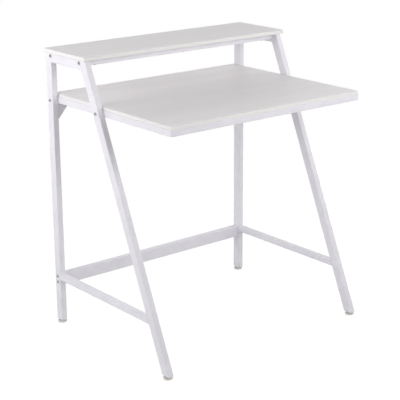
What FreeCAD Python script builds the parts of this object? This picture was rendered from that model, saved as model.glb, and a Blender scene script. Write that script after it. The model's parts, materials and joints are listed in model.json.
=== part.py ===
import FreeCAD, Part
import math
import os

# A ladder desk: two leaning side frames of steel tube carry a shelf and a work surface.
# Millimetres. X is the width, -Y the front and +Z up, with the origin on the floor
# below the middle of the whole desk. The right half is modelled, the left one mirrors it.

# Whole desk
shelf_width = 808.0
shelf_depth = 225.0
overall_depth = 606.0
desk_height = 771.0
shelf_rise = 144.0

# Boards, with a band glued round the edge
shelf_board_thickness = 12.0
desk_board_thickness = 10.0
band_thickness = 2.0
band_edge_chamfer = 1.0
board_corner_radius = 3.0
desk_board_side_gap = 2.0

# Side frames
tube_width = 20.0
tube_depth = 30.0
tube_wall = 1.2
tube_radius = 2.0
shelf_side_overhang = 7.0
shelf_front_overhang = 9.0
shelf_rear_overhang = 1.5
stretcher_height = 20.0
lower_rail_top = 172.0

# Desk frame
desk_rail_depth = 30.0
desk_rail_height = 20.0
gusset_width = 42.0
gusset_height = 49.0
gusset_thickness = 3.0
gusset_corner = 3.0

# Shelf rails
shelf_rail_depth = 20.0
shelf_rail_height = 20.0
shelf_front_rail_inset = 28.0
shelf_rear_rail_inset = 19.5

# Rear crossbar
crossbar_height = 40.0
crossbar_depth = 20.0
crossbar_bolt_spacing = 20.0
end_plate_thickness = 6.0

# Button head bolts and weld nuts
bolt_diameter = 6.0
bolt_end = 4.0
bolt_head_diameter = 10.5
bolt_head_top_diameter = 6.5
bolt_head_height = 2.8
socket_flats = 4.0
socket_depth = 2.0
nut_flats = 10.0
nut_thickness = 5.0

# Pan head board screws
screw_diameter = 4.0
screw_head_diameter = 8.0
screw_head_top_diameter = 5.0
screw_head_height = 2.4
screw_point = 3.0
screw_tip_diameter = 1.0
screw_bite = 7.0
desk_screw_row_shares = (-0.4, 0.0, 0.4)
shelf_screw_row_shares = (-0.45, 0.0, 0.45)

# Levelling feet
pad_diameter = 30.0
pad_height = 6.0
pad_socket_depth = 4.0
collar_flats = 13.0
collar_height = 3.5
stud_diameter = 8.0
foot_travel = 10.0
nut_plate_thickness = 5.0

# Clearances, each on the diameter or the depth of a hole
passing_clearance = 0.6
thread_clearance = 0.1
pilot_clearance = 1.0
cut_overrun = 1.0

# Sides of a hexagon, and of the bolts, bolt holes and screw heads that stand in for round
# ones. Screw shanks and their holes stand in as hexagons.
hexagon_sides = 6
round_sides = 12

# Derived places
overall_height = desk_height + shelf_rise
outer_x = shelf_width / 2 - shelf_side_overhang
inner_x = outer_x - tube_width
leg_x = (outer_x + inner_x) / 2
front_y = -overall_depth / 2
shelf_rear_y = overall_depth / 2
shelf_front_y = shelf_rear_y - shelf_depth
rear_y = shelf_rear_y - shelf_rear_overhang
rear_leg_y = rear_y - tube_depth / 2
leg_bottom = pad_height + collar_height
frame_top = overall_height - shelf_board_thickness
desk_frame_top = desk_height - desk_board_thickness
desk_frame_bottom = desk_frame_top - desk_rail_height
desk_rail_z = desk_frame_top - desk_rail_height / 2
desk_front_rail_y = front_y + desk_rail_depth / 2
desk_rear_rail_y = rear_y - desk_rail_depth / 2
shelf_rail_z = frame_top - shelf_rail_height / 2
shelf_front_rail_y = shelf_front_y + shelf_front_rail_inset + shelf_rail_depth / 2
shelf_rear_rail_y = shelf_rear_y - shelf_rear_rail_inset - shelf_rail_depth / 2
stretcher_z = lower_rail_top - stretcher_height / 2
crossbar_z = lower_rail_top - crossbar_height / 2
reach = overall_height + overall_depth + shelf_width

axis_x = FreeCAD.Vector(1, 0, 0)
axis_y = FreeCAD.Vector(0, 1, 0)
axis_z = FreeCAD.Vector(0, 0, 1)
origin = FreeCAD.Vector(0, 0, 0)


def at(x, y, z):
    """A point or a direction."""
    return FreeCAD.Vector(x, y, z)


# The leaning line of the front legs: its front face runs from the toe, below the desk's
# front edge, to the top corner under the shelf.
top_corner = at(leg_x, shelf_front_y + shelf_front_overhang, frame_top)
toe = at(leg_x, front_y, leg_bottom)
lean = (top_corner - toe).normalize()
lean_back = at(0, lean.z, -lean.y)


def front_leg_y(z):
    """Middle of the front leg, front to back, at height z."""
    return toe.y + (z - toe.z) * lean.y / lean.z + tube_depth / 2 / lean.z


def face_of(corners):
    """Flat face with these corners."""
    return Part.Face(Part.makePolygon(corners + corners[:1]))


def outline(centre, across, up, width, height, radius):
    """Closed wire of a rectangle with round corners, width along across, height along up."""
    arcs = []
    for side, level in ((1, 1), (-1, 1), (-1, -1), (1, -1)):
        pivot = centre + across * (side * (width / 2 - radius)) + up * (level * (height / 2 - radius))
        to_side = across * (side * radius)
        to_level = up * (level * radius)
        middle = pivot + (to_side + to_level) * math.sqrt(0.5)
        ends = [pivot + to_side, pivot + to_level]
        if side != level:
            ends.reverse()
        arcs.append((ends[0], middle, ends[1]))
    edges = []
    for index, (start, middle, end) in enumerate(arcs):
        following = arcs[(index + 1) % len(arcs)][0]
        edges.append(Part.Arc(start, middle, end).toShape())
        edges.append(Part.LineSegment(end, following).toShape())
    return Part.Wire(edges)


def bar(start, end, across, width, depth, radius):
    """Solid bar from start to end with rounded long edges, its width along across."""
    along = (end - start).normalize()
    profile = outline(start, across, along.cross(across), width, depth, radius)
    return Part.Face(profile).extrude(end - start)


def bore_of(start, end, across, width, depth):
    """The hollow, with sharp corners, of the tube that has these outer sizes."""
    to_side = across * (width / 2 - tube_wall)
    to_level = (end - start).normalize().cross(across) * (depth / 2 - tube_wall)
    corners = [
        start + to_side + to_level,
        start - to_side + to_level,
        start - to_side - to_level,
        start + to_side - to_level,
    ]
    return face_of(corners).extrude(end - start)


def tube(start, end, across, width, depth):
    """Rectangular tube from start to end, its width along across."""
    solid = bar(start, end, across, width, depth, tube_radius)
    return solid.cut(bore_of(start, end, across, width, depth))


def trim(solid, point, outward):
    """Cut away what lies past the plane through point, on the side that outward points to."""
    return solid.cut(Part.makeCylinder(reach, reach, point, outward))


def ring(sides, flats, centre, direction):
    """Corners of a regular polygon square to direction, flats apart across its sides."""
    turned = FreeCAD.Rotation(axis_z, direction)
    radius = flats / 2 / math.cos(math.pi / sides)
    corners = []
    for step in range(sides):
        angle = 2 * math.pi * step / sides
        corner = at(radius * math.cos(angle), radius * math.sin(angle), 0)
        corners.append(centre + turned.multVec(corner))
    return corners


def prism(sides, flats, length, base, direction):
    """Straight prism on base, rising along direction."""
    return face_of(ring(sides, flats, base, direction)).extrude(direction * length)


def taper(sides, flats, end_flats, length, base, direction):
    """Prism that narrows along direction, for a fastener's head or tip."""
    near = ring(sides, flats, base, direction)
    far = ring(sides, end_flats, base + direction * length, direction)
    faces = [face_of(near), face_of(far)]
    for index in range(sides):
        following = (index + 1) % sides
        faces.append(face_of([near[index], near[following], far[following], far[index]]))
    return Part.makeSolid(Part.makeShell(faces))


def drill(solid, sides, centre, direction, diameter, length):
    """Hole for a fastener, with its middle at centre."""
    start = centre - direction * (length / 2)
    return solid.cut(prism(sides, diameter, length, start, direction))


def mirrored(solid):
    """The same piece on the left side."""
    return solid.mirror(origin, axis_x)


nodes = {}


def both_sides(name, solid):
    """Keep a right-hand piece and its left-hand twin."""
    nodes["right_" + name] = solid
    nodes["left_" + name] = mirrored(solid)


def both_groups(name, solids):
    """Keep one node with right-hand pieces and their left-hand twins."""
    nodes[name] = Part.makeCompound(solids + [mirrored(solid) for solid in solids])


# Bolt places on the side frames, as front-to-back and height
desk_bolt_places = [
    (rear_leg_y, desk_rail_z),
    (front_leg_y(desk_rail_z), desk_rail_z),
]
shelf_bolt_places = [
    (shelf_rear_rail_y, shelf_rail_z),
    (shelf_front_rail_y, shelf_rail_z),
]
crossbar_bolt_places = [
    (rear_leg_y, crossbar_z + crossbar_bolt_spacing / 2),
    (rear_leg_y, crossbar_z - crossbar_bolt_spacing / 2),
]
bolt_hole = bolt_diameter + passing_clearance
thread_hole = bolt_diameter + thread_clearance
screw_hole = screw_diameter + passing_clearance
screw_pilot = screw_diameter + thread_clearance


def drill_sideways(solid, places, x, diameter, length):
    """Bolt holes along X at each place, with their middles at x."""
    for y, z in places:
        solid = drill(solid, round_sides, at(x, y, z), axis_x, diameter, length)
    return solid


def drill_upright(solid, places, z, diameter, length):
    """Screw holes along Z at each place, with their middles at z."""
    for x, y in places:
        solid = drill(solid, hexagon_sides, at(x, y, z), axis_z, diameter, length)
    return solid


def screw_row(shares, y):
    """Board screws along one rail, as left-to-right and front-to-back."""
    return [(share * 2 * inner_x, y) for share in shares]


desk_screw_rows = {
    "front": screw_row(desk_screw_row_shares, desk_front_rail_y),
    "rear": screw_row(desk_screw_row_shares, desk_rear_rail_y),
}
shelf_screw_rows = {
    "front": screw_row(shelf_screw_row_shares, shelf_front_rail_y),
    "rear": screw_row(shelf_screw_row_shares, shelf_rear_rail_y),
}

# Mitres at the top of the side frames, through the outer corner of each joint
rear_corner = at(leg_x, rear_y, frame_top)
rear_mitre = at(0, -1, 1).normalize()
front_inner_y = top_corner.y + (tube_depth - tube_depth * lean.y) / lean.z
front_mitre = at(0, tube_depth, front_inner_y - top_corner.y).normalize()
across_tube = tube_width + 2 * cut_overrun


def make_rear_leg():
    """Upright leg: mitred at the top, cut level at the floor end, with its nut plate."""
    start = at(leg_x, rear_leg_y, leg_bottom)
    end = at(leg_x, rear_leg_y, frame_top)
    leg = trim(tube(start, end, axis_x, tube_width, tube_depth), rear_corner, rear_mitre)
    leg = drill_sideways(leg, desk_bolt_places[:1], leg_x, bolt_hole, across_tube)
    leg = drill_sideways(leg, crossbar_bolt_places, leg_x, bolt_hole, across_tube)
    both_sides("rear_leg", leg)
    make_nut_plate("rear", bore_of(start, end, axis_x, tube_width, tube_depth), rear_leg_y)


def make_front_leg():
    """Leaning leg: mitred to the top rail, cut level at the floor end, with its nut plate."""
    middle = toe + lean_back * (tube_depth / 2)
    start = middle - lean * tube_depth
    end = middle + lean * (frame_top / lean.z)
    leg = trim(tube(start, end, axis_x, tube_width, tube_depth), top_corner, front_mitre)
    leg = trim(leg, toe, axis_z * -1)
    leg = drill_sideways(leg, desk_bolt_places[1:], leg_x, bolt_hole, across_tube)
    both_sides("front_leg", leg)
    bore = bore_of(start, end, axis_x, tube_width, tube_depth)
    make_nut_plate("front", bore, front_leg_y(leg_bottom))


def make_nut_plate(name, bore, y):
    """Threaded plate welded in the floor end of a leg, filling its hollow."""
    level = Part.makeCylinder(reach, nut_plate_thickness, at(0, 0, leg_bottom), axis_z)
    thread_radius = (stud_diameter + thread_clearance) / 2
    thread = Part.makeCylinder(thread_radius, leg_bottom + nut_plate_thickness, at(leg_x, y, 0), axis_z)
    both_sides(name + "_nut_plate", bore.common(level).cut(thread))


def make_foot(name, y):
    """Levelling foot: a nylon pad on a steel stud, whose hexagon end sits in the pad."""
    seat = at(0, 0, pad_height - pad_socket_depth)
    socket = prism(hexagon_sides, collar_flats + thread_clearance, pad_height, seat, axis_z)
    pad = Part.makeCylinder(pad_diameter / 2, pad_height).cut(socket)
    collar = prism(hexagon_sides, collar_flats, pad_socket_depth + collar_height, seat, axis_z)
    length = nut_plate_thickness + foot_travel
    stud = Part.makeCylinder(stud_diameter / 2, length, at(0, 0, leg_bottom), axis_z).fuse(collar)
    place = at(leg_x, y, 0)
    both_sides(name + "_foot_pad", pad.translated(place))
    both_sides(name + "_foot_stud", stud.translated(place))


def make_top_rail():
    """Rail under the end of the shelf, mitred to both legs."""
    middle_z = frame_top - tube_depth / 2
    start = at(leg_x, top_corner.y, middle_z)
    end = at(leg_x, rear_y, middle_z)
    rail = tube(start, end, axis_x, tube_width, tube_depth)
    rail = trim(rail, rear_corner, rear_mitre * -1)
    rail = trim(rail, top_corner, front_mitre * -1)
    rail = drill_sideways(rail, shelf_bolt_places, leg_x, bolt_hole, across_tube)
    both_sides("top_rail", rail)


def make_stretcher():
    """Low rail from the rear leg to the slope of the front leg."""
    start = at(leg_x, front_y, stretcher_z)
    end = at(leg_x, rear_y - tube_depth, stretcher_z)
    rail = tube(start, end, axis_x, tube_width, stretcher_height)
    both_sides("stretcher", trim(rail, toe + lean_back * tube_depth, lean_back * -1))


def make_end_plate(y, z, width, height, places):
    """Threaded plate in the right end of a cross tube, filling its hollow."""
    start = at(inner_x - end_plate_thickness, y, z)
    plate = bore_of(start, at(inner_x, y, z), axis_y, width, height)
    length = 2 * end_plate_thickness + 2 * cut_overrun
    return drill_sideways(plate, places, inner_x, thread_hole, length)


def make_crossbar():
    """Deep flat bar between the rear legs, with a threaded plate in each end."""
    start = at(-inner_x, rear_leg_y, crossbar_z)
    end = at(inner_x, rear_leg_y, crossbar_z)
    nodes["rear_crossbar"] = tube(start, end, axis_y, crossbar_depth, crossbar_height)
    plate = make_end_plate(rear_leg_y, crossbar_z, crossbar_depth, crossbar_height, crossbar_bolt_places)
    both_groups("crossbar_end_plates", [plate])


def make_desk_frame():
    """Four rails mitred at the corners, with weld nuts behind the leg bolts."""
    through = desk_rail_height + 2 * cut_overrun
    rows = (("front", front_y, desk_front_rail_y, 1), ("rear", rear_y, desk_rear_rail_y, -1))
    for name, outer_y, y, inward in rows:
        start = at(-inner_x, y, desk_rail_z)
        end = at(inner_x, y, desk_rail_z)
        rail = tube(start, end, axis_y, desk_rail_depth, desk_rail_height)
        for side in (-1, 1):
            corner = at(side * inner_x, outer_y, desk_rail_z)
            rail = trim(rail, corner, at(side, inward, 0).normalize())
        rail = drill_upright(rail, desk_screw_rows[name], desk_rail_z, screw_hole, through)
        nodes["desk_" + name + "_rail"] = rail
    x = inner_x - desk_rail_depth / 2
    start = at(x, front_y, desk_rail_z)
    end = at(x, rear_y, desk_rail_z)
    rail = tube(start, end, axis_x, desk_rail_depth, desk_rail_height)
    rail = trim(rail, at(inner_x, front_y, desk_rail_z), at(-1, -1, 0).normalize())
    rail = trim(rail, at(inner_x, rear_y, desk_rail_z), at(-1, 1, 0).normalize())
    rail = drill_sideways(rail, desk_bolt_places, inner_x, bolt_hole, 2 * (tube_wall + cut_overrun))
    nodes["desk_right_rail"] = rail
    nodes["desk_left_rail"] = mirrored(rail)
    nuts = []
    for y, z in desk_bolt_places:
        seat = at(inner_x - tube_wall, y, z)
        nut = prism(hexagon_sides, nut_flats, nut_thickness, seat, axis_x * -1)
        length = 2 * (nut_thickness + cut_overrun)
        nuts.append(drill(nut, round_sides, seat, axis_x, thread_hole, length))
    both_groups("desk_weld_nuts", nuts)


def make_gusset():
    """Three-cornered plate under the desk frame, against the rear leg just behind its rounded edge."""
    y = rear_y - tube_depth + tube_radius
    corners = [
        at(inner_x, y, desk_frame_bottom),
        at(inner_x - gusset_width, y, desk_frame_bottom),
        at(inner_x - gusset_width, y, desk_frame_bottom - gusset_corner),
        at(inner_x - gusset_corner, y, desk_frame_bottom - gusset_height),
        at(inner_x, y, desk_frame_bottom - gusset_height),
    ]
    both_sides("gusset", face_of(corners).extrude(axis_y * gusset_thickness))


def make_shelf_rails():
    """Two rails between the top rails, with a threaded plate in each end."""
    through = shelf_rail_height + 2 * cut_overrun
    plates = []
    for name, y in (("front", shelf_front_rail_y), ("rear", shelf_rear_rail_y)):
        start = at(-inner_x, y, shelf_rail_z)
        end = at(inner_x, y, shelf_rail_z)
        rail = tube(start, end, axis_y, shelf_rail_depth, shelf_rail_height)
        rail = drill_upright(rail, shelf_screw_rows[name], shelf_rail_z, screw_hole, through)
        nodes["shelf_" + name + "_rail"] = rail
        bolt_place = (y, shelf_rail_z)
        plates.append(make_end_plate(y, shelf_rail_z, shelf_rail_depth, shelf_rail_height, [bolt_place]))
    both_groups("shelf_rail_end_plates", plates)


def make_board(name, width, front, rear, top, thickness, rows):
    """Laminated board with pilot holes below, and the band glued round its edge."""
    y = (front + rear) / 2
    bottom = at(0, y, top - thickness)
    plate = bar(bottom, at(0, y, top), axis_x, width, rear - front, board_corner_radius)
    rim = [edge for edge in plate.Edges if edge.BoundBox.ZLength < thickness / 2]
    core_width = width - 2 * band_thickness
    core_depth = rear - front - 2 * band_thickness
    core = Part.makeBox(core_width, core_depth, thickness)
    core.translate(bottom - at(core_width / 2, core_depth / 2, 0))
    nodes[name + "_edge_band"] = plate.makeChamfer(band_edge_chamfer, rim).cut(core)
    depth = screw_bite + pilot_clearance
    places = rows["front"] + rows["rear"]
    nodes[name + "_board"] = drill_upright(core, places, bottom.z, screw_pilot, 2 * depth)


def make_screws(name, rows, rail_bottom, rail_height):
    """Board screws, heads under the rail."""
    shank = rail_height + screw_bite - screw_point
    screws = []
    for x, y in rows["front"] + rows["rear"]:
        base = at(x, y, rail_bottom)
        head = taper(round_sides, screw_head_diameter, screw_head_top_diameter, screw_head_height,
                     base, axis_z * -1)
        screw = head.fuse(prism(hexagon_sides, screw_diameter, shank, base, axis_z))
        tip = taper(hexagon_sides, screw_diameter, screw_tip_diameter, screw_point,
                    base + axis_z * shank, axis_z)
        screws.append(screw.fuse(tip).removeSplitter())
    nodes[name] = Part.makeCompound(screws)


def make_bolts(name, places, grip):
    """Button head bolts through the right side frame and, mirrored, the left one."""
    bolts = []
    for y, z in places:
        base = at(outer_x, y, z)
        head = taper(round_sides, bolt_head_diameter, bolt_head_top_diameter, bolt_head_height,
                     base, axis_x)
        bolt = head.fuse(prism(round_sides, bolt_diameter, grip + bolt_end, base, axis_x * -1))
        socket = base + axis_x * (bolt_head_height - socket_depth)
        bolt = bolt.cut(prism(hexagon_sides, socket_flats, bolt_head_height, socket, axis_x))
        bolts.append(bolt.removeSplitter())
    both_groups(name, bolts)


make_rear_leg()
make_front_leg()
make_top_rail()
make_stretcher()
make_crossbar()
make_desk_frame()
make_gusset()
make_shelf_rails()
make_board("desk", 2 * (inner_x - desk_board_side_gap), front_y, rear_y, desk_height,
           desk_board_thickness, desk_screw_rows)
make_board("shelf", shelf_width, shelf_front_y, shelf_rear_y, overall_height,
           shelf_board_thickness, shelf_screw_rows)
make_screws("desk_screws", desk_screw_rows, desk_frame_bottom, desk_rail_height)
make_screws("shelf_screws", shelf_screw_rows, frame_top - shelf_rail_height, shelf_rail_height)
make_bolts("desk_bolts", desk_bolt_places, tube_width + tube_wall + nut_thickness)
make_bolts("shelf_bolts", shelf_bolt_places, tube_width + end_plate_thickness)
make_bolts("crossbar_bolts", crossbar_bolt_places, tube_width + end_plate_thickness)
make_foot("rear", rear_leg_y)
make_foot("front", front_leg_y(leg_bottom))

os.makedirs("parts", exist_ok=True)
for name, shape in nodes.items():
    shape.exportStep("parts/" + name + ".step")
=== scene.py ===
import json
import math

import bmesh
import bpy
from mathutils import Matrix, Vector


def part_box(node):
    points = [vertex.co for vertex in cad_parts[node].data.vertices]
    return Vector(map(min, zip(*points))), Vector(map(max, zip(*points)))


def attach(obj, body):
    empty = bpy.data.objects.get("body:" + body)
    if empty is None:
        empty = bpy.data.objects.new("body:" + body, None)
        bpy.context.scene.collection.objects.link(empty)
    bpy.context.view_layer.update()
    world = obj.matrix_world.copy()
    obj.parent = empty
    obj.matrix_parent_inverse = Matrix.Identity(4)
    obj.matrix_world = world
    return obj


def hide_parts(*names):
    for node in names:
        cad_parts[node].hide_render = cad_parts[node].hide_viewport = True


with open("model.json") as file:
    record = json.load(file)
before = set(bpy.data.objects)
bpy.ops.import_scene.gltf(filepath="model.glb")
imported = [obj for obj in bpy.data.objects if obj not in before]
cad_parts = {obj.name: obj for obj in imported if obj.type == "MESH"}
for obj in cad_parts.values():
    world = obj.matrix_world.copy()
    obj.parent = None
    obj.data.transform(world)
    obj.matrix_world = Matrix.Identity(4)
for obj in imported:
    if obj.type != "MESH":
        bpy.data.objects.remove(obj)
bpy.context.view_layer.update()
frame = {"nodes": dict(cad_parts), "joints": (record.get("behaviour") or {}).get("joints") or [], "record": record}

# A white ladder desk. Metres, in the frame of the solids: X is the width, -Y the front, +Z up.
mm = 0.001

# Points round a bolt, a screw or a foot, so that every fourth one is a corner of a hexagon
points_round = 24
# Size of a broken edge, and the bend from which an edge is shaded as sharp
broken_edge = 0.2 * mm
sharp_edge = math.radians(40)

# Button head bolts through the side frames
bolt_head_width = 10.5 * mm
bolt_head_height = 2.8 * mm
bolt_head_rim = 0.5 * mm
bolt_head_flat = 6.2 * mm
bolt_dome_steps = 5
bolt_shank_width = 6 * mm
bolt_shank_length = 30 * mm
bolt_end_chamfer = 0.8 * mm
bolt_socket_flats = 4 * mm
bolt_socket_depth = 2 * mm

# Pan head screws under the boards, two of them at a share of the rail's length from its middle
desk_screw_share = 0.4
shelf_screw_share = 0.45
screw_head_width = 8 * mm
screw_head_height = 2.4 * mm
screw_recess_width = 4.4 * mm
screw_recess_slot = 1 * mm
screw_recess_rim = 0.4 * mm
screw_recess_taper = 1.4 * mm
screw_recess_floor = 1 * mm
screw_shank_width = 4 * mm
screw_shank_length = 27 * mm
screw_point_length = 3 * mm
screw_point_width = 1 * mm
# Width lost and height, up the rounded side of the head
screw_head_side = ((0, 0.8 * mm), (0.5 * mm, 1.5 * mm), (1.6 * mm, 2.1 * mm))

# Levelling feet: width lost and height from the hollow underside of the glide up its lower edge,
# then width lost and depth below the top over its upper edge
glide_lower_edge = ((11 * mm, 0.6 * mm), (9.8 * mm, 0), (2.6 * mm, 0), (0.9 * mm, 0.4 * mm),
                    (0, 1.4 * mm))
glide_upper_edge = ((0, 2 * mm), (0.5 * mm, 1 * mm), (1.6 * mm, 0.35 * mm), (3.4 * mm, 0))
glide_socket_land = 4 * mm
glide_socket_mouth = 0.5 * mm
glide_socket_chamfer = 0.3 * mm
glide_socket_clearance = 0.1 * mm
stud_collar_top = 9.5 * mm
stud_collar_chamfer = 0.7 * mm
stud_collar_crown = 0.3 * mm
stud_neck = 0.5 * mm
stud_neck_height = 0.2 * mm
stud_thread_width = 8 * mm
stud_thread_depth = 0.68 * mm
stud_thread_pitch = 1.25 * mm
stud_thread_start = 0.4 * mm
stud_thread_rows = 6
stud_end_length = 1.2 * mm
stud_end_taper = 2.6 * mm

# Welds of the side frames and the gussets; the slope is how far a front leg leans back for its rise
front_leg_slope = 0.4365
weld_size = 2.6 * mm
weld_root = 0.3 * mm
weld_ripple = 1.8 * mm
weld_ripple_rows = 4
weld_ripple_share = 0.1
weld_bulge_share = 0.22
weld_end_share = 0.06
weld_steps = 5
stretcher_weld_inset = 2 * mm
gusset_weld_inset = 3 * mm
gusset_weld_low_inset = 2 * mm
gusset_weld_high_inset = 4 * mm


def linear(code):
    """Turn an sRGB hex colour to linear red, green, blue and alpha."""
    parts = [int(code[place:place + 2], 16) / 255 for place in (1, 3, 5)]
    parts = [part / 12.92 if part <= 0.04045 else ((part + 0.055) / 1.055) ** 2.4 for part in parts]
    return (parts[0], parts[1], parts[2], 1.0)


def add(tree, kind, settings=None, links=None):
    """Add a node, give its sockets, properties and colour stops their settings, and link its inputs."""
    node = tree.nodes.new(kind)
    for name, value in (settings or {}).items():
        if name == "stops":
            for stop, (position, code) in zip(node.color_ramp.elements, value):
                stop.position = position
                stop.color = linear(code)
        elif isinstance(name, int) or name in node.inputs:
            node.inputs[name].default_value = value
        else:
            setattr(node, name, value)
    for name, source in (links or {}).items():
        tree.links.new(source, node.inputs[name])
    return node


def new_finish(name):
    """Start a finish: its node tree, its surface shader and the place on the piece."""
    finish = bpy.data.materials.new(name)
    finish.use_nodes = True
    tree = finish.node_tree
    surface = tree.nodes["Principled BSDF"]
    place = add(tree, "ShaderNodeTexCoord").outputs["Object"]
    return finish, tree, surface, place


def dress(tree, surface, colour, gloss, bumps=None):
    """Link a finish's colour, roughness and bumps to its surface shader."""
    tree.links.new(colour, surface.inputs["Base Color"])
    tree.links.new(gloss.outputs["Result"], surface.inputs["Roughness"])
    if bumps:
        tree.links.new(bumps.outputs["Normal"], surface.inputs["Normal"])


def powder_coat():
    """Polyester powder, sprayed on and baked: satin white, faintly uneven, with an orange peel."""
    finish, tree, surface, place = new_finish("powder_coat_baked_satin_white")
    cloud = add(tree, "ShaderNodeTexNoise", {"Scale": 1 / (45 * mm), "Detail": 2}, {"Vector": place})
    colour = add(tree, "ShaderNodeValToRGB", {"stops": ((0.3, "#E3E1E7"), (0.7, "#E9E7ED"))},
                 {"Fac": cloud.outputs["Fac"]})
    # Real orange peel is 1 to 2 mm wide, drawn at 4 mm so that it shows
    peel = add(tree, "ShaderNodeTexNoise", {"Scale": 1 / (4 * mm), "Detail": 1}, {"Vector": place})
    gloss = add(tree, "ShaderNodeMapRange", {"To Min": 0.36, "To Max": 0.46},
                {"Value": peel.outputs["Fac"]})
    waves = add(tree, "ShaderNodeBump", {"Strength": 0.15, "Distance": 0.3 * mm},
                {"Height": peel.outputs["Fac"]})
    surface.inputs["IOR"].default_value = 1.5
    dress(tree, surface, colour.outputs["Color"], gloss, waves)
    return finish


def laminate():
    """Melamine paper, hot pressed on fibreboard: grey-white, half matt, a faint printed grain."""
    finish, tree, surface, place = new_finish("melamine_laminate_pressed_grain")
    # Grain lines are about 3 mm wide and run some 150 mm along the board
    stretched = add(tree, "ShaderNodeMapping",
                    {"Scale": (1 / (150 * mm), 1 / (3 * mm), 1 / (3 * mm))}, {"Vector": place})
    grain = add(tree, "ShaderNodeTexNoise", {"Scale": 1.0, "Detail": 4, "Roughness": 0.6},
                {"Vector": stretched.outputs["Vector"]})
    # Broader bands of shade, 40 mm wide and 400 mm long
    broad = add(tree, "ShaderNodeMapping",
                {"Scale": (1 / (400 * mm), 1 / (40 * mm), 1 / (40 * mm))}, {"Vector": place})
    cloud = add(tree, "ShaderNodeTexNoise", {"Scale": 1.0, "Detail": 2},
                {"Vector": broad.outputs["Vector"]})
    fine = add(tree, "ShaderNodeValToRGB", {"stops": ((0.3, "#E7E4E5"), (0.7, "#F3F0F1"))},
               {"Fac": grain.outputs["Fac"]})
    wide = add(tree, "ShaderNodeValToRGB", {"stops": ((0.3, "#EAE7E8"), (0.7, "#F1EEEF"))},
               {"Fac": cloud.outputs["Fac"]})
    # Sockets 6 and 7 of a mix are its two colours, and output 2 is the mixed one
    colour = add(tree, "ShaderNodeMix", {"data_type": "RGBA", "Factor": 0.5},
                 {6: fine.outputs["Color"], 7: wide.outputs["Color"]})
    gloss = add(tree, "ShaderNodeMapRange", {"To Min": 0.38, "To Max": 0.48},
                {"Value": grain.outputs["Fac"]})
    pores = add(tree, "ShaderNodeBump", {"Strength": 0.1, "Distance": 0.2 * mm},
                {"Height": grain.outputs["Fac"]})
    surface.inputs["IOR"].default_value = 1.5
    dress(tree, surface, colour.outputs[2], gloss, pores)
    return finish


def edge_band():
    """ABS strip, extruded: warmer and smoother than the boards, with faint drawing lines."""
    finish, tree, surface, place = new_finish("abs_edge_band_extruded")
    # Drawing lines of 0.3 mm, drawn at 1.5 mm so that they show, along the whole band
    stretched = add(tree, "ShaderNodeMapping",
                    {"Scale": (1 / (300 * mm), 1 / (300 * mm), 1 / (1.5 * mm))}, {"Vector": place})
    lines = add(tree, "ShaderNodeTexNoise", {"Scale": 1.0, "Detail": 2},
                {"Vector": stretched.outputs["Vector"]})
    colour = add(tree, "ShaderNodeValToRGB", {"stops": ((0.3, "#E6E5E2"), (0.7, "#EBEAE8"))},
                 {"Fac": lines.outputs["Fac"]})
    gloss = add(tree, "ShaderNodeMapRange", {"To Min": 0.35, "To Max": 0.45},
                {"Value": lines.outputs["Fac"]})
    ridges = add(tree, "ShaderNodeBump", {"Strength": 0.08, "Distance": 0.1 * mm},
                 {"Height": lines.outputs["Fac"]})
    surface.inputs["IOR"].default_value = 1.53
    dress(tree, surface, colour.outputs["Color"], gloss, ridges)
    return finish


def nylon():
    """Natural nylon, moulded: a dull cream with the fine grit of an eroded mould."""
    finish, tree, surface, place = new_finish("nylon_moulded_natural")
    cloud = add(tree, "ShaderNodeTexNoise", {"Scale": 1 / (8 * mm), "Detail": 2}, {"Vector": place})
    colour = add(tree, "ShaderNodeValToRGB", {"stops": ((0.3, "#D8D4CB"), (0.7, "#E2DED5"))},
                 {"Fac": cloud.outputs["Fac"]})
    # Mould grit of 0.2 mm, drawn at 1 mm so that it shows
    grit = add(tree, "ShaderNodeTexNoise", {"Scale": 1 / (1 * mm), "Detail": 2}, {"Vector": place})
    gloss = add(tree, "ShaderNodeMapRange", {"To Min": 0.45, "To Max": 0.6},
                {"Value": grit.outputs["Fac"]})
    texture = add(tree, "ShaderNodeBump", {"Strength": 0.2, "Distance": 0.1 * mm},
                  {"Height": grit.outputs["Fac"]})
    surface.inputs["IOR"].default_value = 1.53
    dress(tree, surface, colour.outputs["Color"], gloss, texture)
    return finish


def zinc_steel():
    """Steel, zinc plated and blue passivated: a cool grey metal, dulled in small patches."""
    finish, tree, surface, place = new_finish("zinc_plated_steel_passivated")
    patches = add(tree, "ShaderNodeTexNoise", {"Scale": 1 / (2 * mm), "Detail": 3}, {"Vector": place})
    colour = add(tree, "ShaderNodeValToRGB", {"stops": ((0.3, "#A7A8A9"), (0.7, "#BBBCBD"))},
                 {"Fac": patches.outputs["Fac"]})
    gloss = add(tree, "ShaderNodeMapRange", {"To Min": 0.3, "To Max": 0.45},
                {"Value": patches.outputs["Fac"]})
    surface.inputs["Metallic"].default_value = 1.0
    dress(tree, surface, colour.outputs["Color"], gloss)
    return finish


finishes = {
    "powder_coat": powder_coat(),
    "laminate": laminate(),
    "edge_band": edge_band(),
    "nylon": nylon(),
    "zinc_steel": zinc_steel(),
}

for subpart in frame["record"]["subparts"]:
    solid = frame["nodes"][subpart["node"]]
    solid.material_slots[0].material = finishes[subpart["material_slot"]]


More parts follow.
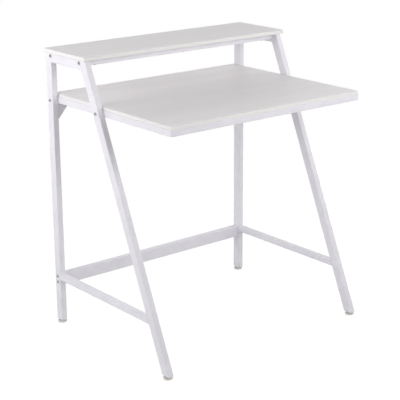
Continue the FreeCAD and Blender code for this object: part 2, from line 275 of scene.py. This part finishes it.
def level(kind, width, height):
    """One level of a turned piece: a circle, a hexagon across its flats, or a screw's cross."""
    points = []
    for step in range(points_round):
        angle = math.tau * step / points_round
        reach = width / 2
        if kind == "hexagon":
            reach /= math.cos(angle % (math.tau / 6) - math.tau / 12)
        if kind == "cross":
            # Along an arm the slot sets no limit, so its sine is kept from zero
            off_arm = abs((angle + math.tau / 8) % (math.tau / 4) - math.tau / 8)
            reach = min(reach, screw_recess_slot / 2 / max(math.sin(off_arm), 0.1))
        points.append(Vector((reach * math.cos(angle), reach * math.sin(angle), height)))
    return points


def skin(mesh, levels, place):
    """Join closed rings of points from the first to the last, and close both ends."""
    rings = [[mesh.verts.new(place @ point) for point in points] for points in levels]
    for lower, upper in zip(rings, rings[1:]):
        for step in range(len(lower)):
            after = (step + 1) % len(lower)
            mesh.faces.new((lower[step], lower[after], upper[after], upper[step]))
    mesh.faces.new(list(reversed(rings[0])))
    mesh.faces.new(rings[-1])


def make_piece(name, mesh, body, slot, *solids):
    """Turn a mesh to a piece that rides on a body, in the finish of a slot."""
    bmesh.ops.recalc_face_normals(mesh, faces=mesh.faces)
    data = bpy.data.meshes.new(name)
    mesh.to_mesh(data)
    mesh.free()
    data.shade_smooth()
    data.set_sharp_from_angle(angle=sharp_edge)
    data.materials.append(finishes[slot])
    piece = bpy.data.objects.new(name, data)
    bpy.context.collection.objects.link(piece)
    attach(piece, body)
    if solids:
        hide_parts(*solids)


def button_head_bolt(mesh, place):
    """A bolt with a low dome and a hexagon socket; its head stands on the tube's face."""
    levels = [
        level("round", bolt_shank_width - 2 * bolt_end_chamfer, -bolt_shank_length),
        level("round", bolt_shank_width, bolt_end_chamfer - bolt_shank_length),
        level("round", bolt_shank_width, 0),
        level("round", bolt_head_width - 2 * broken_edge, 0),
        level("round", bolt_head_width, broken_edge),
    ]
    for step in range(bolt_dome_steps + 1):
        angle = math.pi / 2 * step / bolt_dome_steps
        width = bolt_head_flat + (bolt_head_width - bolt_head_flat) * math.cos(angle)
        height = bolt_head_rim + (bolt_head_height - bolt_head_rim) * math.sin(angle)
        levels.append(level("round", width, height))
    levels.append(level("hexagon", bolt_socket_flats + 2 * broken_edge, bolt_head_height))
    levels.append(level("hexagon", bolt_socket_flats, bolt_head_height - broken_edge))
    levels.append(level("hexagon", bolt_socket_flats, bolt_head_height - bolt_socket_depth))
    skin(mesh, levels, place)


def make_bolts(node):
    """Four bolts through the side frames, two on each side."""
    low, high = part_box(node)
    half = min(high[1] - low[1], high[2] - low[2]) / 2
    seat = high[0] - bolt_head_height
    mesh = bmesh.new()
    for y, z in ((low[1] + half, low[2] + half), (high[1] - half, high[2] - half)):
        for side in (-1, 1):
            turn = Matrix.Rotation(side * math.pi / 2, 4, "Y")
            button_head_bolt(mesh, Matrix.Translation((side * seat, y, z)) @ turn)
    make_piece(node + "_domed", mesh, "frame", "zinc_steel", node)


def pan_head_screw(mesh, place):
    """A pointed screw with a pan head and a cross recess; its head stands on the rail's underside."""
    levels = [
        level("round", screw_point_width, -screw_shank_length),
        level("round", screw_shank_width, screw_point_length - screw_shank_length),
        level("round", screw_shank_width, 0),
        level("round", screw_head_width - broken_edge, 0),
        level("round", screw_head_width, broken_edge),
    ]
    for lost, height in screw_head_side:
        levels.append(level("round", screw_head_width - lost, height))
    levels.append(level("round", screw_recess_width + screw_recess_rim, screw_head_height))
    levels.append(level("cross", screw_recess_width, screw_head_height))
    levels.append(level("cross", screw_recess_width - screw_recess_taper, screw_recess_floor))
    skin(mesh, levels, place)


def make_screws(node, share, rails):
    """Three board screws under each rail."""
    mesh = bmesh.new()
    for rail in rails:
        low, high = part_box(rail)
        spacing = share * (high[0] - low[0])
        for x in (-spacing, 0, spacing):
            place = Matrix.Translation((x, (low[1] + high[1]) / 2, low[2]))
            pan_head_screw(mesh, place @ Matrix.Rotation(math.pi, 4, "X"))
    make_piece(node + "_pan_head", mesh, "frame", "zinc_steel", node)


def thread_levels(bottom, top):
    """Rings that rise with the screw thread cut into a stud."""
    rows = math.ceil((top - bottom) / stud_thread_pitch * stud_thread_rows)
    levels = []
    for row in range(rows + 1):
        height = bottom + (top - bottom) * row / rows
        points = []
        for step in range(points_round):
            turn = step / points_round
            wave = (height / stud_thread_pitch - turn) % 1.0
            groove = stud_thread_depth * (1 - abs(2 * wave - 1))
            reach = stud_thread_width / 2 - groove
            angle = math.tau * turn
            points.append(Vector((reach * math.cos(angle), reach * math.sin(angle), height)))
        levels.append(points)
    return levels


def make_foot(corner):
    """A levelling foot: a turned nylon glide and a threaded stud with a hexagon collar."""
    low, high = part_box(corner + "_foot_pad")
    place = Matrix.Translation(((low[0] + high[0]) / 2, (low[1] + high[1]) / 2, 0))
    width = high[0] - low[0]
    top = high[2]
    stud_low, stud_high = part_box(corner + "_foot_stud")
    flats = stud_high[1] - stud_low[1]
    seat = stud_low[2]
    end = stud_high[2]
    levels = [level("round", width - lost, height) for lost, height in glide_lower_edge]
    levels += [level("round", width - lost, top - depth) for lost, depth in glide_upper_edge]
    levels += [
        level("round", flats + glide_socket_land, top),
        level("hexagon", flats + glide_socket_mouth, top),
        level("hexagon", flats + glide_socket_clearance, top - glide_socket_chamfer),
        level("hexagon", flats + glide_socket_clearance, seat),
    ]
    glide = bmesh.new()
    skin(glide, levels, place)
    make_piece(corner + "_foot_glide", glide, corner + "_foot", "nylon", corner + "_foot_pad")
    levels = [
        level("hexagon", flats, seat),
        level("hexagon", flats, stud_collar_top - stud_collar_chamfer),
        level("round", flats - stud_collar_crown, stud_collar_top),
        level("round", stud_thread_width + stud_neck, stud_collar_top),
        level("round", stud_thread_width - 2 * stud_thread_depth, stud_collar_top + stud_neck_height),
    ]
    levels += thread_levels(stud_collar_top + stud_thread_start, end - stud_end_length)
    levels.append(level("round", stud_thread_width - stud_end_taper, end))
    stud = bmesh.new()
    skin(stud, levels, place)
    make_piece(corner + "_foot_threaded_stud", stud, corner + "_foot", "zinc_steel",
               corner + "_foot_stud")


def weld(mesh, start, end, first, second):
    """A rippled bead of weld in the corner between two faces, which run along first and second."""
    start = Vector(start)
    end = Vector(end)
    first = Vector(first).normalized()
    second = Vector(second).normalized()
    length = (end - start).length
    rows = round(length / weld_ripple * weld_ripple_rows)
    levels = []
    for row in range(rows + 1):
        reach = length * row / rows
        near = min(reach, length - reach) / weld_size
        rounding = math.sqrt(max(weld_end_share, 1 - max(0, 1 - near) ** 2))
        ripple = 1 + weld_ripple_share * math.cos(math.tau * reach / weld_ripple)
        size = weld_size * rounding * ripple
        middle = start.lerp(end, row / rows)
        points = [middle - (first + second) * weld_root]
        for step in range(weld_steps + 1):
            share = step / weld_steps
            bulge = weld_bulge_share * math.sin(math.pi * share)
            points.append(middle + size * ((1 - share + bulge) * first + (share + bulge) * second))
        levels.append(points)
    skin(mesh, levels, Matrix.Identity(4))


def make_side_frame_welds(side):
    """Welds in the inner corners of a side frame, where its tubes meet, and behind the gusset."""
    low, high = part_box(side + "_stretcher")
    lean = Vector((0, front_leg_slope, 1)).normalized()
    left = low[0] + stretcher_weld_inset
    right = high[0] - stretcher_weld_inset
    front = low[1] + (high[2] - low[2]) * front_leg_slope
    mesh = bmesh.new()
    weld(mesh, (left, high[1], high[2]), (right, high[1], high[2]), (0, -1, 0), (0, 0, 1))
    weld(mesh, (left, high[1], low[2]), (right, high[1], low[2]), (0, -1, 0), (0, 0, -1))
    weld(mesh, (left, front, high[2]), (right, front, high[2]), (0, 1, 0), lean)
    weld(mesh, (left, low[1], low[2]), (right, low[1], low[2]), (0, 1, 0), -lean)
    low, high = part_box(side + "_gusset")
    left = low[0] + gusset_weld_inset
    right = high[0] - gusset_weld_inset
    weld(mesh, (left, high[1], high[2]), (right, high[1], high[2]), (0, 1, 0), (0, 0, -1))
    leg, inward = (low[0], 1) if side == "left" else (high[0], -1)
    weld(mesh, (leg, high[1], low[2] + gusset_weld_low_inset),
         (leg, high[1], high[2] - gusset_weld_high_inset), (inward, 0, 0), (0, 1, 0))
    make_piece(side + "_side_frame_welds", mesh, "frame", "powder_coat")


for bolts in ("desk_bolts", "shelf_bolts", "crossbar_bolts"):
    make_bolts(bolts)
make_screws("desk_screws", desk_screw_share, ("desk_front_rail", "desk_rear_rail"))
make_screws("shelf_screws", shelf_screw_share, ("shelf_front_rail", "shelf_rear_rail"))
for corner in ("left_front", "right_front", "left_rear", "right_rear"):
    make_foot(corner)
for side in ("left", "right"):
    make_side_frame_welds(side)


def seen(tree):
    """One where the eye looks, straight, mirrored or through glass, and nought where light is gathered."""
    path = add(tree, "ShaderNodeLightPath")
    mirrored = add(tree, "ShaderNodeMath", {"operation": "MAXIMUM"},
                   {0: path.outputs["Is Glossy Ray"], 1: path.outputs["Is Transmission Ray"]})
    either = add(tree, "ShaderNodeMath", {"operation": "MAXIMUM"},
                 {0: path.outputs["Is Camera Ray"], 1: mirrored.outputs["Value"]})
    return either.outputs["Value"]


def make_floor():
    """White studio paper: it shows white to the eye and keeps a faint shadow."""
    finish = bpy.data.materials.new("studio_paper_white")
    finish.use_nodes = True
    tree = finish.node_tree
    tree.nodes.clear()
    paper = add(tree, "ShaderNodeBsdfDiffuse", {"Color": linear("#C0C0C0")})
    shadow = add(tree, "ShaderNodeBsdfDiffuse", {"Color": linear("#626262")})
    white = add(tree, "ShaderNodeEmission", {"Color": linear("#FFFFFF"), "Strength": 0.94})
    shown = add(tree, "ShaderNodeAddShader",
                links={0: shadow.outputs["BSDF"], 1: white.outputs["Emission"]})
    both = add(tree, "ShaderNodeMixShader",
               links={0: seen(tree), 1: paper.outputs["BSDF"], 2: shown.outputs["Shader"]})
    add(tree, "ShaderNodeOutputMaterial", links={"Surface": both.outputs["Shader"]})
    mesh = bmesh.new()
    bmesh.ops.create_grid(mesh, x_segments=4, y_segments=4, size=8.0)
    data = bpy.data.meshes.new("studio_floor")
    mesh.to_mesh(data)
    mesh.free()
    data.materials.append(finish)
    floor = bpy.data.objects.new("studio_floor", data)
    # As low as the feet reach when they are screwed out, so that they show at every pose
    floor.location.z = -max(joint["range_m"][1] for joint in frame["joints"])
    bpy.context.collection.objects.link(floor)


def make_world():
    """A pale room with a lit back wall and a dim ceiling, which shows white behind the desk."""
    front_walls = 1.2
    back_wall = 2.25
    ceiling = 0.24
    world = bpy.data.worlds.new("pale_room")
    world.use_nodes = True
    tree = world.node_tree
    tree.nodes.clear()
    direction = add(tree, "ShaderNodeTexCoord")
    towards = add(tree, "ShaderNodeSeparateXYZ", links={0: direction.outputs["Generated"]})
    walls = add(tree, "ShaderNodeMapRange",
                {"interpolation_type": "SMOOTHSTEP", "From Min": 0.55, "From Max": 0.85,
                 "To Min": front_walls, "To Max": back_wall}, {"Value": towards.outputs["Y"]})
    above = add(tree, "ShaderNodeMapRange",
                {"interpolation_type": "SMOOTHSTEP", "From Min": 0.38, "From Max": 0.52},
                {"Value": towards.outputs["Z"]})
    # Sockets 2 and 3 of a mix are its two numbers
    room = add(tree, "ShaderNodeMix", {3: ceiling},
               {0: above.outputs["Result"], 2: walls.outputs["Result"]})
    light = add(tree, "ShaderNodeBackground", {"Color": linear("#FFFFFF")},
                {"Strength": room.outputs["Result"]})
    white = add(tree, "ShaderNodeBackground", {"Color": linear("#FFFFFF"), "Strength": 1.0})
    both = add(tree, "ShaderNodeMixShader",
               links={0: seen(tree), 1: light.outputs["Background"], 2: white.outputs["Background"]})
    add(tree, "ShaderNodeOutputWorld", links={"Surface": both.outputs["Shader"]})
    bpy.context.scene.world = world


def softbox(name, place, aim, width, height, power):
    """A soft studio lamp that faces a point of the desk."""
    light = bpy.data.lights.new(name, "AREA")
    light.shape = "RECTANGLE"
    light.size = width
    light.size_y = height
    light.energy = power
    lamp = bpy.data.objects.new(name, light)
    # Reflections show the white room alone, so that the boards have no glare from behind
    lamp.visible_glossy = False
    lamp.location = place
    lamp.rotation_euler = (Vector(aim) - Vector(place)).to_track_quat("-Z", "Y").to_euler()
    bpy.context.collection.objects.link(lamp)


def make_camera():
    """A camera at the photograph's place, level from side to side."""
    look_down = math.radians(17.6578)
    turn_right = math.radians(40.2519)
    view = bpy.data.cameras.new("camera")
    view.sensor_width = 36
    view.lens = 107.42
    view.shift_x = -0.0555
    view.shift_y = 0.0235
    view.clip_end = 50
    camera = bpy.data.objects.new("camera", view)
    camera.location = (-2.3561, -2.8622, 1.56)
    camera.rotation_euler = (math.pi / 2 - look_down, 0, -turn_right)
    bpy.context.collection.objects.link(camera)
    bpy.context.scene.camera = camera


make_floor()
make_world()
softbox("left_softbox", place=(-1.5, 0.3, 1.15), aim=(-0.4, 0, 0.75), width=1.0, height=0.8, power=8.4)
softbox("front_softbox", place=(0.3, -1.4, 1.3), aim=(0, -0.2, 0.76), width=1.0, height=0.5, power=6.7)
softbox("right_softbox", place=(1.9, -0.3, 1.2), aim=(0, 0, 0.75), width=1.0, height=0.6, power=8.8)
make_camera()
bpy.context.scene.view_settings.view_transform = "Standard"
